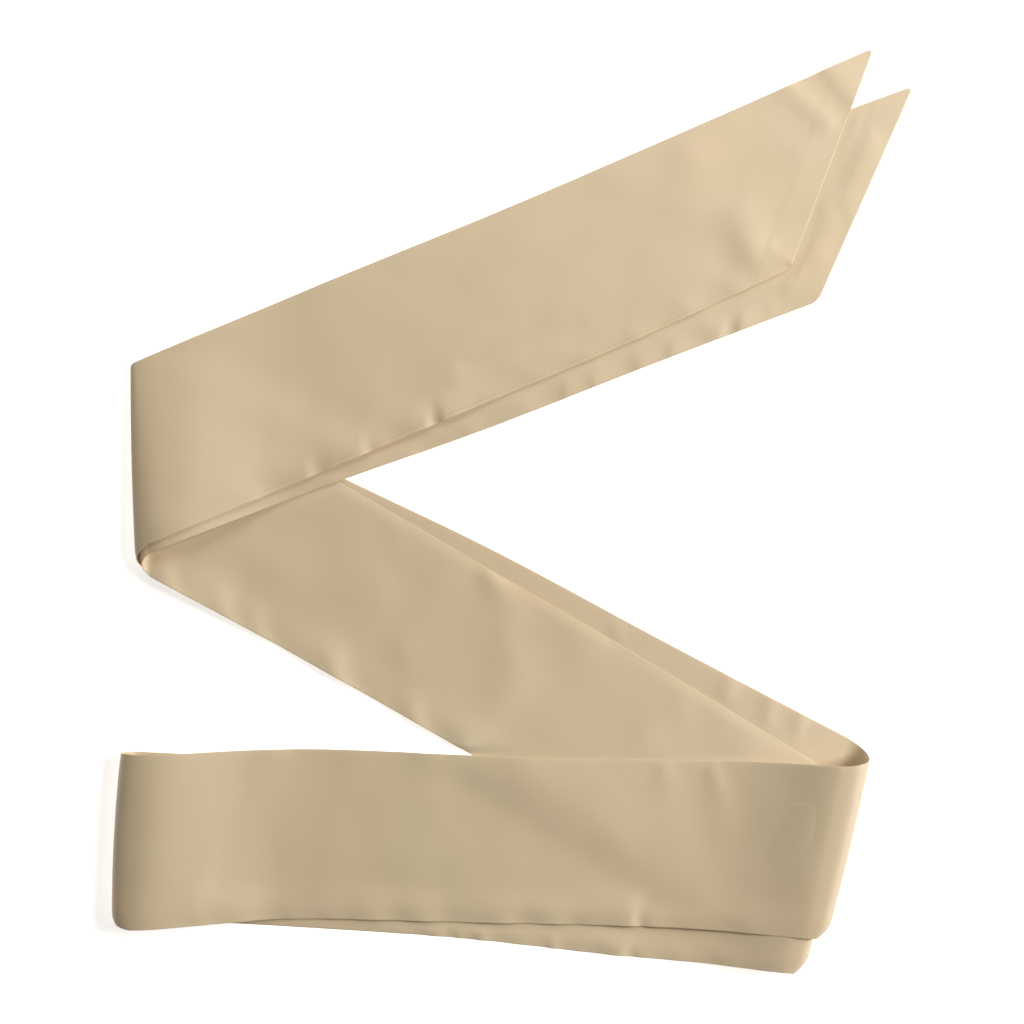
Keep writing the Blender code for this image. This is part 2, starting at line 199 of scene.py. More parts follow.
FOLD_ROWS = {
    "tail_upper": (
        (-34.0, 84.0, 28.0, 110.0, 14.0, 10.0, 0.8, 0.3),
        (-26.0, 85.0, 35.0, 109.0, 5.0, 6.0, -0.7, -0.5),
        (70.0, 119.0, 112.0, 138.0, 11.0, 9.0, 0.45, 0.5),
        (139.0, 152.0, 133.0, 170.0, 9.0, 12.0, 1.9, 1.2, 1.3),
        (150.0, 153.0, 163.5, 143.5, 2.5, 2.0, 0.45, 0.5),
        (159.5, 186.7, 169.9, 169.9, 2.0, 1.6, -0.18, -0.1),
        (104.0, 203.0, 96.0, 181.0, 13.0, 16.0, 0.8, 0.5),
        (161.0, 246.0, 183.0, 226.0, 7.0, 7.0, 0.85, 0.75, 0.75),
        (182.5, 257.0, 197.5, 239.0, 4.2, 4.4, 1.15, 1.05, 4.0),
        (182.0, 222.0, 166.0, 208.0, 6.0, 8.0, 0.3, 0.5),
        (-92.0, 118.0, -128.0, 64.0, 20.0, 24.0, 0.6, 0.2),
        (6.0, 158.0, 34.0, 142.0, 18.0, 22.0, 0.6, 0.3),
    ),
    "tail_lower": (
        (194.0, 182.0, 206.0, 210.0, 5.5, 5.5, 0.9, 1.0, 2.0),
        (198.0, 226.0, 212.0, 213.0, 7.0, 7.0, 0.25, 0.2),
        (178.0, 148.0, 184.0, 172.0, 7.0, 8.0, 0.6, 0.5),
        (160.0, 131.0, 176.0, 152.0, 4.0, 6.0, 0.6, 0.3),
    ),
    "cross_upper": (
        (-13.0, -37.0, 2.0, -58.0, 6.5, 11.0, 1.1, 0.5, 0.8),
        (-18.0, -124.0, 30.0, -68.0, 12.0, 15.0, 1.3, 0.5),
        (-69.2, -9.3, -65.7, -23.3, 8.0, 9.0, 0.5, 0.4),
        (-77.9, -37.8, -75.0, -51.2, 9.0, 9.0, 0.4, 0.4),
        (-63.4, -79.0, -61.0, -90.7, 8.0, 9.0, 0.5, 0.4),
        (-4.0, -69.8, -1.7, -83.1, 8.0, 9.0, 0.4, 0.4),
        (98.8, -112.2, 101.0, -123.8, 9.0, 9.0, 0.5, 0.4),
        (-150.0, -24.0, -92.0, -50.0, 13.0, 18.0, 0.7, 0.3),
    ),
    "cross_lower": (
        (60.0, -70.0, 56.0, -86.0, 6.0, 8.0, 0.7, 0.4),
        (126.0, -100.0, 121.0, -114.0, 6.0, 7.0, 0.7, 0.4),
        (150.0, -111.0, 146.0, -128.0, 5.0, 6.0, 0.6, 0.4),
        (168.0, -121.0, 164.0, -135.0, 5.0, 6.0, 0.6, 0.4),
    ),
    "band_upper": (
        (-14.0, -150.0, 52.0, -188.0, 12.0, 20.0, 0.75, 0.1),
        (4.0, -142.0, 84.0, -200.0, 16.0, 19.0, 1.7, 0.9, 1.4),
        (116.0, -234.0, 126.0, -206.0, 28.0, 30.0, 1.7, 0.8, 1.5),
        (88.0, -149.0, 92.0, -176.0, 6.0, 13.0, 0.8, 0.3),
        (117.0, -151.0, 123.0, -180.0, 5.0, 10.0, 0.9, 0.3),
        (-174.3, -197.0, -182.0, -230.0, 6.0, 5.0, 0.3, 0.2),
        (-138.0, -139.0, -136.0, -157.0, 8.0, 13.0, 0.8, 0.3),
        (-50.6, -139.0, -47.0, -160.0, 8.0, 14.0, 0.8, 0.2),
        (-140.0, -150.0, -118.0, -200.0, 16.0, 22.0, 0.6, 0.4),
        (20.0, -214.0, -60.0, -196.0, 18.0, 24.0, 0.5, 0.3),
    ),
    "band_lower": (
        (50.0, -200.0, 90.0, -220.0, 14.0, 16.0, 0.7, 0.4),
        (-90.0, -190.0, -130.0, -160.0, 15.0, 20.0, 0.6, 0.3),
    ),
}
FOLDS = [Fold(stretch, *row) for stretch, rows in FOLD_ROWS.items() for row in rows]

# Soft rolls along an edge of the cloth: over the turned-in seam allowance, and where a
# fold edge is not pressed flat. The axis of each lies inwards of the edge.
Roll = namedtuple("Roll", "stretch edge inwards outer inner height")

ROLLS = (
    Roll("tail_upper", "seam", 9.0, 6.0, 9.0, 0.45),
    Roll("tail_lower", "seam", 8.0, 5.5, 5.5, 0.35),
    Roll("cross_upper", "seam", 9.0, 6.5, 9.0, 0.4),
    Roll("cross_upper", "fold", 5.0, 2.8, 22.0, 0.45),
    Roll("cross_lower", "seam", 6.0, 8.0, 8.0, 0.4),
    Roll("band_lower", "seam", 7.0, 5.0, 5.0, 0.35),
    Roll("band_upper", "seam", 9.0, 6.0, 9.0, 0.45),
)

# Puckers that the seam's stitches draw into the cloth. Each is a ridge that starts on the
# seam edge at x and runs inwards over its reach, leaning to one side, widening and fading
# out, with one half width on its left and another on its right.
Pucker = namedtuple("Pucker", "stretch x reach lean left right height")

PUCKER_ROWS = {
    "tail_upper": (
        (-150.0, 18.0, -0.2, 8.0, 4.0, 0.6),
        (-117.5, 26.0, -0.27, 14.0, 4.6, 1.6),
        (-104.5, 22.0, -0.27, 6.0, 14.0, 0.9),
        (-89.0, 26.0, -0.27, 15.0, 4.8, 2.0),
        (-74.5, 24.0, -0.27, 5.6, 15.0, 1.4),
        (-50.3, 24.0, -0.27, 15.0, 4.2, 2.3),
        (-39.3, 26.0, -0.27, 4.6, 17.0, 2.3),
        (-12.0, 15.0, -0.2, 6.0, 9.0, 0.45),
        (14.0, 14.0, 0.1, 11.0, 6.0, 0.5),
        (42.0, 16.0, -0.2, 11.0, 7.0, 0.6),
        (70.0, 14.0, 0.0, 6.0, 10.0, 0.45),
        (101.0, 16.0, 0.2, 9.0, 5.0, 0.6),
        (131.0, 14.0, -0.2, 6.0, 9.0, 0.52),
    ),
    "tail_lower": (
        (-103.0, 13.0, 0.1, 8.0, 5.0, 0.54),
        (-60.0, 14.0, -0.2, 9.0, 5.0, 0.54),
        (-22.0, 14.0, -0.2, 5.0, 8.0, 0.68),
        (8.0, 13.0, 0.1, 8.0, 5.0, 0.47),
        (33.0, 18.0, -0.1, 4.0, 9.0, 0.88),
        (50.0, 18.0, -0.1, 4.0, 8.0, 0.88),
        (75.0, 18.0, -0.1, 4.5, 8.0, 0.94),
        (95.0, 18.0, -0.1, 4.5, 9.0, 0.94),
        (119.5, 18.0, -0.2, 8.0, 3.0, 1.15),
        (132.5, 20.0, -0.1, 3.0, 9.0, 1.35),
        (152.0, 14.0, 0.1, 5.0, 6.0, 0.54),
    ),
    "cross_upper": (
        (-199.0, 26.0, -0.5, 9.0, 5.0, 1.9),
        (-188.0, 14.0, -0.4, 4.0, 6.0, 0.62),
        (-169.0, 26.0, -0.5, 14.0, 6.0, 1.9),
        (-149.0, 26.0, -0.5, 13.0, 6.0, 1.9),
        (-127.0, 14.0, -0.3, 6.0, 8.0, 0.46),
        (-103.5, 36.0, -0.5, 19.0, 8.0, 3.0),
        (-78.0, 16.0, -0.4, 8.0, 5.0, 0.54),
        (-57.0, 26.0, -0.5, 14.0, 6.0, 2.0),
        (-29.0, 34.0, -0.5, 16.0, 8.0, 2.1),
        (-4.5, 16.0, -0.4, 2.6, 8.0, 0.93),
    ),
    "cross_lower": (
        (-160.0, 14.0, 0.2, 6.0, 5.0, 0.52),
        (-90.0, 16.0, 0.3, 6.0, 6.0, 0.52),
    ),
    "band_upper": (
        (-178.0, 14.0, 0.0, 6.0, 5.0, 0.45),
        (-157.0, 27.0, 0.1, 16.0, 9.0, 1.7),
        (-128.0, 15.0, 0.1, 5.0, 9.0, 0.6),
        (-105.0, 14.0, 0.0, 5.0, 9.0, 0.68),
        (-80.0, 24.0, 0.0, 14.0, 7.5, 1.25),
        (-50.0, 24.0, 0.0, 12.0, 7.0, 1.25),
        (-24.0, 15.0, 0.1, 7.0, 8.0, 0.52),
        (-5.0, 26.0, 0.0, 14.0, 7.0, 1.4),
        (25.5, 22.0, 0.0, 12.0, 6.5, 1.2),
        (46.0, 14.0, 0.0, 6.0, 8.0, 0.45),
        (68.0, 30.0, -0.3, 13.0, 4.8, 2.0),
        (80.0, 16.0, -0.1, 4.0, 11.0, 1.15),
        (103.0, 15.0, 0.0, 8.0, 6.0, 0.52),
        (136.0, 15.0, 0.1, 7.0, 9.0, 0.52),
    ),
    "band_lower": (
        (-62.0, 9.0, 0.0, 5.0, 4.0, 0.41),
        (-42.5, 11.0, 0.0, 7.0, 2.8, 0.81),
        (-31.0, 11.0, 0.0, 2.8, 7.0, 0.68),
        (-17.0, 12.0, 0.0, 3.4, 3.4, 0.94),
        (4.0, 12.0, 0.0, 6.0, 5.0, 0.54),
        (23.0, 12.0, 0.0, 3.0, 3.2, 0.88),
        (39.0, 12.0, 0.0, 6.0, 5.0, 0.47),
        (61.0, 18.0, -0.1, 10.0, 5.0, 1.8),
        (75.0, 13.0, 0.0, 3.4, 8.0, 0.81),
        (97.0, 13.0, 0.0, 7.0, 6.0, 0.54),
        (126.0, 13.0, 0.0, 6.0, 8.0, 0.47),
    ),
}
PUCKERS = [Pucker(stretch, *row) for stretch, rows in PUCKER_ROWS.items() for row in rows]

# A pucker's width at its inner end, as a multiple of its width on the seam
PUCKER_SPREAD = 2.3

# Waves of cloth that has lain folded: how many run over each stretch, their lengths, and
# how high they all stand together
Wave = namedtuple("Wave", "count shortest longest height")

WAVES = (
    Wave(7, 55.0, 170.0, 0.5),
    Wave(10, 24.0, 52.0, 0.7),
)
WAVE_BASE = 0.05

# The turned-in seam allowance of a slanted end shows through as a low step
ALLOWANCE_AT = 17.0
ALLOWANCE_STEP = 2.2
ALLOWANCE_HEIGHT = 0.15

# The rounded corners of a slanted end, and the gap before the close rows at its edge
CORNER_ROUND = 4.5
END_ROW_GAP = 1.0

# The columns across the cloth: how far in from the seam edge and from the fold edge they
# lie, and how many more there are between. In section a seam edge has the given share of
# the full thickness at its first columns, and a fold edge is rounded over FOLD_ROUND.
SEAM_DEPTHS = (0.0, 0.14, 0.5, 1.1, 1.9, 2.4, 2.8, 3.2, 3.7, 5.0, 7.0, 9.5)
FOLD_DEPTHS = (0.0, 0.12, 0.4, 0.8, 1.4, 2.6, 4.6, 7.2)
FOLD_ROUND = 3.5
SEAM_SECTION = ((0, 0.0), (1, 0.64), (2, 0.96))
MIDDLE_COLUMNS = 34

# A leg is a stretch between two shares, or a whole turn, in the order that the cloth runs
# from the middle of the sash to its tip.
Leg = namedtuple("Leg", "kind name first last")

# The solids that each half stands for, and the half that is stitched
REPLACED = {
    "sash_outer_half": ("tail_upper", "cross_lower", "band_upper"),
    "sash_inner_half": ("band_lower", "cross_upper", "tail_lower"),
}
STITCHED_HALF = "sash_outer_half"

# The stitching that closes the gap through which the tube was turned
STITCH_FROM_X = -153.5
STITCH_TO_X = 113.5
STITCH_SIDES = 6
STITCH_RINGS = (-1.0, -0.82, -0.4, 0.0, 0.4, 0.82, 1.0)

# How far in from the seam edge the stitches lie, how far they draw the cloth in, as a share
# of its half thickness, and the half width of that furrow
STITCH_DEPTH = 2.8
STITCH_FURROW = 0.5
STITCH_FURROW_WIDTH = 0.45

# How much a stitch narrows at its ends, and how far it rises in its middle and dives at its
# ends, in multiples of the thread's radius
STITCH_TAPER = 0.8
STITCH_RISE = 0.4
STITCH_DIVE = 1.6

# The lights: the side of each in metres, its place and its colour. Both are aimed at the
# middle of the sash.
Lamp = namedtuple("Lamp", "side place colour")
KEY_LAMP = Lamp(0.9, (1.73, 0.4, 1.38), (1.0, 0.99, 0.97))
FILL_LAMP = Lamp(1.0, (-0.12, 1.12, 0.8), (1.0, 1.0, 1.0))

# The floor's side and how far it lies under the sash, in metres
FLOOR_SIDE = 6.0
FLOOR_DROP = 0.0001

# How much light polyester bends
POLYESTER_IOR = 1.55


def linear_colour(text):
    """An sRGB hex colour as linear red, green and blue."""
    levels = [int(text[place:place + 2], 16) / 255 for place in (0, 2, 4)]
    return tuple(level / 12.92 if level <= 0.04045 else ((level + 0.055) / 1.055) ** 2.4
                 for level in levels)


class SashClothSettings(PropertyGroup):
    """The sizes of the cloth and of its stitching."""

    width: FloatProperty(
        name="Width", description="Width of the sash pressed flat, for its map and its cut",
        default=0.1, min=0.02, max=0.3, subtype="DISTANCE", unit="LENGTH")
    thickness: FloatProperty(
        name="Thickness", description="Thickness of the two plies pressed together",
        default=0.0005, min=0.0003, max=0.001, precision=5, subtype="DISTANCE", unit="LENGTH")
    row_step: FloatProperty(
        name="Row step", description="Distance between the rows of the mesh",
        default=0.0019, min=0.001, max=0.02, precision=4, subtype="DISTANCE", unit="LENGTH")
    wave_strength: FloatProperty(
        name="Wave strength", description="How strong the waves in the cloth are",
        default=1.0, min=0.0, max=4.0, subtype="FACTOR")
    wave_seed: IntProperty(
        name="Wave seed", description="Which set of slow waves the cloth has", default=11, min=0)
    stitch_pitch: FloatProperty(
        name="Stitch pitch", description="From one stitch to the next", default=0.0029,
        min=0.001, max=0.01, precision=4, subtype="DISTANCE", unit="LENGTH")
    stitch_length: FloatProperty(
        name="Stitch length", description="Length of a stitch that shows", default=0.0021,
        min=0.0005, max=0.01, precision=4, subtype="DISTANCE", unit="LENGTH")
    thread: FloatProperty(
        name="Thread", description="Thickness of the sewing thread", default=0.0003,
        min=0.0001, max=0.001, precision=5, subtype="DISTANCE", unit="LENGTH")


class SashFinishSettings(PropertyGroup):
    """The colours and the gloss of the cloth and of its thread."""

    satin: FloatVectorProperty(
        name="Satin", description="Colour of the satin", subtype="COLOR", size=3,
        min=0.0, max=1.0, default=linear_colour("DECDA9"))
    satin_warm: FloatVectorProperty(
        name="Warm satin", description="The satin where it looks a little pinker",
        subtype="COLOR", size=3, min=0.0, max=1.0, default=linear_colour("E5CBA7"))
    thread: FloatVectorProperty(
        name="Thread", description="Colour of the sewing thread", subtype="COLOR", size=3,
        min=0.0, max=1.0, default=linear_colour("DCC39A"))
    roughness: FloatProperty(
        name="Roughness", description="Roughness of the satin's face", default=0.58,
        min=0.0, max=1.0, subtype="FACTOR")
    anisotropy: FloatProperty(
        name="Anisotropy", description="How far the floats draw a highlight out",
        default=0.75, min=0.0, max=1.0, subtype="FACTOR")


class SashStageSettings(PropertyGroup):
    """The floor, the lights and the camera."""

    floor: FloatVectorProperty(
        name="Floor", description="Colour of the floor", subtype="COLOR", size=3,
        min=0.0, max=1.0, default=linear_colour("F6F5F3"))
    floor_glow: FloatProperty(
        name="Floor glow", description="Light that the floor gives off", default=0.76,
        min=0.0, max=2.0)
    key_power: FloatProperty(
        name="Key light", description="Power of the large light at the right",
        default=49.0, min=0.0, unit="POWER")
    fill_power: FloatProperty(
        name="Fill light", description="Power of the light beyond the tips", default=6.0,
        min=0.0, unit="POWER")
    surround: FloatProperty(
        name="Surround", description="Strength of the even light of the room", default=0.08,
        min=0.0, max=5.0)
    surround_colour: FloatVectorProperty(
        name="Surround colour", description="Colour of the even light of the room",
        subtype="COLOR", size=3, min=0.0, max=1.0, default=linear_colour("FFF1DF"))
    camera_height: FloatProperty(
        name="Camera height", description="Height of the camera over the surface",
        default=1.0, min=0.2, max=5.0, subtype="DISTANCE", unit="LENGTH")
    lens: FloatProperty(
        name="Lens", description="Focal length of the camera, in millimetres", default=60.47,
        min=10.0, max=300.0, subtype="DISTANCE_CAMERA")


def ease(value):
    """A smooth step from 0 to 1, without a bend at either end."""
    value = np.clip(value, 0.0, 1.0)
    return value ** 3 * (10.0 + value * (6.0 * value - 15.0))


def edge_points(stretch, shares):
    """Seam edge and fold edge of a stretch at the given shares, on smooth curves."""
    rows = np.array([row[1:] for row in STRETCHES[stretch]])
    spans = len(rows) - 1
    rows = np.vstack((2 * rows[0] - rows[1], rows, 2 * rows[-1] - rows[-2]))
    span = np.clip((np.asarray(shares) * spans).astype(int), 0, spans - 1)
    part = (np.asarray(shares) * spans - span)[:, None]
    before, start, end, after = (rows[span + step] for step in range(4))
    bend = 2 * before - 5 * start + 4 * end - after
    twist = 3 * start - before - 3 * end + after
    points = start + 0.5 * part * (end - before + part * (bend + part * twist))
    return points[:, :2], points[:, 2:]


def stretch_length(stretch):
    """Length of a stretch along its middle."""
    seam, fold = edge_points(stretch, np.linspace(0.0, 1.0, OUTLINE_STEPS))
    middle = (seam + fold) / 2
    return np.linalg.norm(np.diff(middle, axis=0), axis=1).sum()


def plan_outline(stretch):
    """The stretch's outline seen from above."""
    seam, fold = edge_points(stretch, np.linspace(0.0, 1.0, OUTLINE_STEPS))
    return np.vstack((seam, fold[::-1]))


def distance_from(line, points):
    """How far each point is from a line of many straight parts."""
    nearest = np.full(len(points), np.inf)
    for start, end in zip(line[:-1], line[1:]):
        side = end - start
        along = np.clip((points - start) @ side / (side @ side), 0.0, 1.0)
        foot = start + along[:, None] * side
        nearest = np.minimum(nearest, np.linalg.norm(points - foot, axis=1))
    return nearest


def distance_outside(outline, points):
    """How far each point is outside an outline, and 0 inside it."""
    nearest = distance_from(np.vstack((outline, outline[:1])), points)
    inside = np.zeros(len(points), bool)
    for start, end in zip(outline, np.roll(outline, -1, axis=0)):
        side = end - start
        if start[1] != end[1]:
            crossing = start[0] + (points[:, 1] - start[1]) * side[0] / side[1]
            spans = (start[1] > points[:, 1]) != (end[1] > points[:, 1])
            inside ^= spans & (points[:, 0] < crossing)
    nearest[inside] = 0.0
    return nearest


def fold_relief(fold, points):
    """Height of one soft ridge or trough at each point."""
    start = np.array((fold.x, fold.y))
    side = np.array((fold.end_x, fold.end_y)) - start
    along = np.clip((points - start) @ side / (side @ side), 0.0, 1.0)
    apart = points - start - along[:, None] * side
    away = np.linalg.norm(apart, axis=1)
    width = fold.width + (fold.end_width - fold.width) * along
    width = width * (1.0 + (fold.right - 1.0) * ease(0.5 + apart[:, 0] / fold.width))
    height = fold.height + (fold.end_height - fold.height) * ease(along)
    return height * np.exp(-(away / width) ** 2)


def roll_relief(roll, points):
    """Height of a soft roll along one edge of a stretch."""
    seam, fold = edge_points(roll.stretch, np.linspace(0.0, 1.0, OUTLINE_STEPS * ROLL_FINENESS))
    away = distance_from(seam if roll.edge == "seam" else fold, points) - roll.inwards
    width = np.where(away < 0.0, roll.outer, roll.inner)
    return roll.height * np.exp(-(away / width) ** 2)


def pucker_relief(pucker, points):
    """Height of the ridge that a pucker makes, from the seam edge inwards."""
    shares = np.linspace(0.0, 1.0, OUTLINE_STEPS * PUCKER_FINENESS)
    seam, fold = edge_points(pucker.stretch, shares)
    row = np.argmin(np.abs(seam[:, 0] - pucker.x))
    inwards = (fold[row] - seam[row]) / np.linalg.norm(fold[row] - seam[row])
    right = np.array((inwards[1], -inwards[0]))
    line = pucker.reach * (inwards + pucker.lean * right)
    along = (points - seam[row]) @ line / (line @ line)
    away = (points - seam[row]) @ right - along * (line @ right)
    fade = 1.0 - ease(along)
    width = np.where(away < 0.0, pucker.left, pucker.right)
    width = width * (1.0 + (PUCKER_SPREAD - 1.0) * np.clip(along, 0.0, 1.0))
    return pucker.height * fade * np.exp(-(away / width) ** 2)


def wave_relief(stretch, points, settings):
    """Slow waves, which stand up from the layer below."""
    order = sorted(STRETCHES).index(stretch)
    random = np.random.default_rng(settings.wave_seed + order)
    total = np.zeros(len(points))
    for wave in WAVES:
        for _ in range(wave.count):
            length = random.uniform(wave.shortest, wave.longest)
            turned = random.uniform(0.0, pi)
            phase = random.uniform(0.0, 2.0 * pi)
            place = points @ np.array((np.cos(turned), np.sin(turned)))
            share = wave.height * length / wave.longest / wave.count
            total += np.cos(2.0 * pi * place / length + phase) * share
    return settings.wave_strength * (WAVE_BASE + total)


def allowance_relief(stretch, points):
    """The low step over the seam allowance inside a slanted end."""
    if not stretch.startswith("tail"):
        return 0.0
    seam, fold = edge_points(stretch, np.array([1.0]))
    line = (fold - seam)[0]
    square = np.array((line[1], -line[0])) / np.linalg.norm(line)
    inside = -(points - seam[0]) @ square
    return ALLOWANCE_HEIGHT * ease(0.5 + (ALLOWANCE_AT - inside) / ALLOWANCE_STEP)


def cloth_relief(stretch, points, settings):
    """All the folds, puckers and waves of a stretch, which are flat under another one."""
    relief = wave_relief(stretch, points, settings) + allowance_relief(stretch, points)
    for table, shape in ((FOLDS, fold_relief), (ROLLS, roll_relief), (PUCKERS, pucker_relief)):
        for row in table:
            if row.stretch == stretch:
                relief += shape(row, points)
    for above, below in UNDER.items():
        if stretch in below:
            relief *= ease(distance_outside(plan_outline(above), points) / PRESS_RUN)
    return relief


def stop_softly(relief, lowest):
    """Keep a relief from going under its lowest, without a crease where it stops."""
    return lowest + FOLD_STOP * np.logaddexp(0.0, (relief - lowest) / FOLD_STOP)


def roll_over(past, row, nose):
    """How high a turn's top still is, as a share, at a place past the start of its roll."""
    part = np.clip(past / (row.roll + nose), 0.0, 1.0)
    return 0.5 + 0.5 * (1.0 - part ** row.square) ** (1.0 / row.square)


def cloth_height(stretch, points, settings):
    """Height of the middle of the cloth, on the layers under it and their folds."""
    height = np.full(len(points), settings.thickness / MM / 2)
    carried = np.zeros(len(points))
    covered = np.zeros(len(points))
    for below in UNDER[stretch]:
        past = distance_outside(plan_outline(below), points) - DRAPE_START
        cover = ease(1.0 - past / TIGHT_DRAPES.get((stretch, below), DRAPE_RUN))
        height += LAYER_PITCH * cover
        carried += stop_softly(cloth_relief(below, points, settings), 0.0) * cover
        covered = np.maximum(covered, cover)
    relief = stop_softly(cloth_relief(stretch, points, settings), LOWEST_FOLD * covered)
    for crest in CRESTS:
        if crest.stretch == stretch:
            seam = np.array((crest.seam_x, crest.seam_y))
            line = np.array((crest.fold_x, crest.fold_y)) - seam
            across = (points - seam) @ line / (line @ line)
            across = np.clip(across, -CREST_OVERRUN, 1.0 + CREST_OVERRUN)
            square = np.array((line[1], -line[0])) / np.linalg.norm(line)
            inside = (points - seam) @ square * np.sign(crest.run)
            fall = np.clip((inside - crest.roll) / (abs(crest.run) - crest.roll), 0.0, 1.0)
            raised = ease(1.0 - fall ** crest.fall)
            top = crest.seam_height + (crest.fold_height - crest.seam_height) * across
            top = top * roll_over(crest.roll - inside, crest, crest.nose)
            height = height * (1.0 - raised) + top * raised
    return height + carried + relief


def across_places(lengths):
    """Places across the cloth for rulings of these lengths, as shares of each."""
    seam_side = np.array(SEAM_DEPTHS) / lengths[:, None]
    fold_side = 1.0 - np.array(FOLD_DEPTHS[::-1]) / lengths[:, None]
    part = np.linspace(0.0, 1.0, MIDDLE_COLUMNS + 2)[1:-1]
    middle = seam_side[:, -1:] * (1.0 - part) + fold_side[:, :1] * part
    return np.hstack((seam_side, middle, fold_side))


def round_corner(from_end, from_edge):
    """Draw the points near a square corner onto a round one, in two distances."""
    along = 1.0 - from_end / CORNER_ROUND
    side = 1.0 - from_edge / CORNER_ROUND
    near = (along > 0.0) & (side > 0.0)
    round_along = along * np.sqrt(1.0 - np.where(near, side, 0.0) ** 2 / 2)
    round_side = side * np.sqrt(1.0 - np.where(near, along, 0.0) ** 2 / 2)
    return CORNER_ROUND * (1.0 - round_along), CORNER_ROUND * (1.0 - round_side)


def stretch_rows(stretch, shares, settings, rounded):
    """Points of the middle surface, a row across the cloth for each share."""
    seam, fold = edge_points(stretch, shares)
    rulings = np.linalg.norm(fold - seam, axis=1)
    across = across_places(rulings)
    share = np.repeat(shares[:, None], across.shape[1], axis=1)
    if rounded:
        length = stretch_length(stretch)
        reach = rulings[:, None]
        from_end, from_fold = round_corner((1.0 - share) * length, (1.0 - across) * reach)
        from_end, from_seam = round_corner(from_end, across * reach)
        share = 1.0 - from_end / length
        across = np.where(across < 0.5, from_seam / reach, 1.0 - from_fold / reach)
    seam, fold = edge_points(stretch, share.ravel())
    part = across.reshape(-1, 1)
    plan = seam * (1.0 - part) + fold * part
    height = cloth_height(stretch, plan, settings)
    return np.column_stack((plan, height)).reshape(*share.shape, 3)


def turn_rows(turn, settings):
    """Points round a turn, from its lower stretch to its upper one."""
    share = np.array([float(turn.share)])
    bottom = stretch_rows(turn.lower, share, settings, False)[0]
    top = stretch_rows(turn.upper, share, settings, False)[0]
    from_seam = np.linalg.norm(bottom - bottom[0], axis=1)
    across = from_seam / from_seam[-1]
    reach = turn.seam_reach + (turn.fold_reach - turn.seam_reach) * across
    reach = reach + turn.bow * 4.0 * across * (1.0 - across)
    corner = np.clip(1.0 - from_seam / TURN_CORNER, 0.0, 1.0)
    reach = (reach * (1.0 - turn.loss * corner ** 2))[:, None]
    way = np.array((turn.way_x, turn.way_y, 0.0))
    angle = np.linspace(0.0, pi, TURN_ROWS)[:, None, None]
    rows = bottom + (top - bottom) * angle / pi + way * np.sin(angle) * reach
    angle = angle[..., 0]
    nose = np.maximum(reach[:, 0], LEAST_NOSE)
    lower_rise = (1.0 - np.cos(angle)) / 2
    upper_rise = roll_over(turn.roll + nose * np.sin(angle), turn, nose)
    rise = np.where(angle < pi / 2, lower_rise, upper_rise)
    rise = rise / roll_over(turn.roll, turn, nose)
    rows[..., 2] = bottom[:, 2] + (top[:, 2] - bottom[:, 2]) * rise
    return rows


def leg_rows(leg, settings):
    """Points along one leg, in the order that the cloth runs."""
    if leg.kind == "turn":
        rows = turn_rows(TURNS[leg.name], settings)
        return rows if leg.first < leg.last else rows[::-1]
    length = stretch_length(leg.name)
    steps = ceil(length * abs(leg.last - leg.first) * MM / settings.row_step)
    shares = np.linspace(leg.first, leg.last, steps + 1)
    tail = leg.name.startswith("tail")
    if tail:
        end_shares = 1.0 - np.array(SEAM_DEPTHS[::-1]) / length
        shares = np.append(shares[shares < end_shares[0] - END_ROW_GAP / length], end_shares)
    return stretch_rows(leg.name, shares, settings, tail)


def half_legs():
    """The legs of the two halves of the sash, each from the middle to the tip."""
    split = SPLIT_FROM_TURN / stretch_length("band_lower")
    return {
        "sash_outer_half": (
            Leg("stretch", "band_lower", split, 0.0),
            Leg("turn", "lower_left", 0, 1),
            Leg("stretch", "band_upper", 0.0, 1.0),
            Leg("turn", "right_outer", 1, 0),
            Leg("stretch", "cross_lower", 1.0, 0.0),
            Leg("turn", "left_outer", 0, 1),
            Leg("stretch", "tail_upper", 0.0, 1.0),
        ),
        "sash_inner_half": (
            Leg("stretch", "band_lower", split, 1.0),
            Leg("turn", "right_inner", 1, 0),
            Leg("stretch", "cross_upper", 1.0, 0.0),
            Leg("turn", "left_inner", 0, 1),
            Leg("stretch", "tail_lower", 0.0, 1.0),
        ),
    }


def half_surface(name, settings):
    """The middle surface of a half: its points, its normals and the cloth's own length."""
    rows = []
    for leg in half_legs()[name]:
        new = leg_rows(leg, settings)
        rows.append(new[1:] if rows else new)
    points = np.concatenate(rows)
    normals = np.cross(np.gradient(points, axis=0), np.gradient(points, axis=1))
    normals /= np.linalg.norm(normals, axis=2, keepdims=True)
    steps = np.linalg.norm(np.diff(points, axis=0), axis=2)
    run = np.vstack((np.zeros(points.shape[1]), np.cumsum(steps, axis=0)))
    return points, normals, run


def shell_sections(rows, columns):
    """Which row and column each line of the shell is taken from, and its thickness."""
    fold = [(columns - 1 - place, np.sqrt(1.0 - (1.0 - min(depth / FOLD_ROUND, 1.0)) ** 2))
            for place, depth in enumerate(FOLD_DEPTHS)]
    plain = [(column, 1.0) for column in range(len(SEAM_SECTION), columns - len(fold))]
    across = list(SEAM_SECTION) + plain + fold[::-1]
    end = [(rows - 1 - row, part) for row, part in SEAM_SECTION]
    along = [(row, 1.0) for row in range(rows - len(SEAM_SECTION))] + end[::-1]
    return along, across


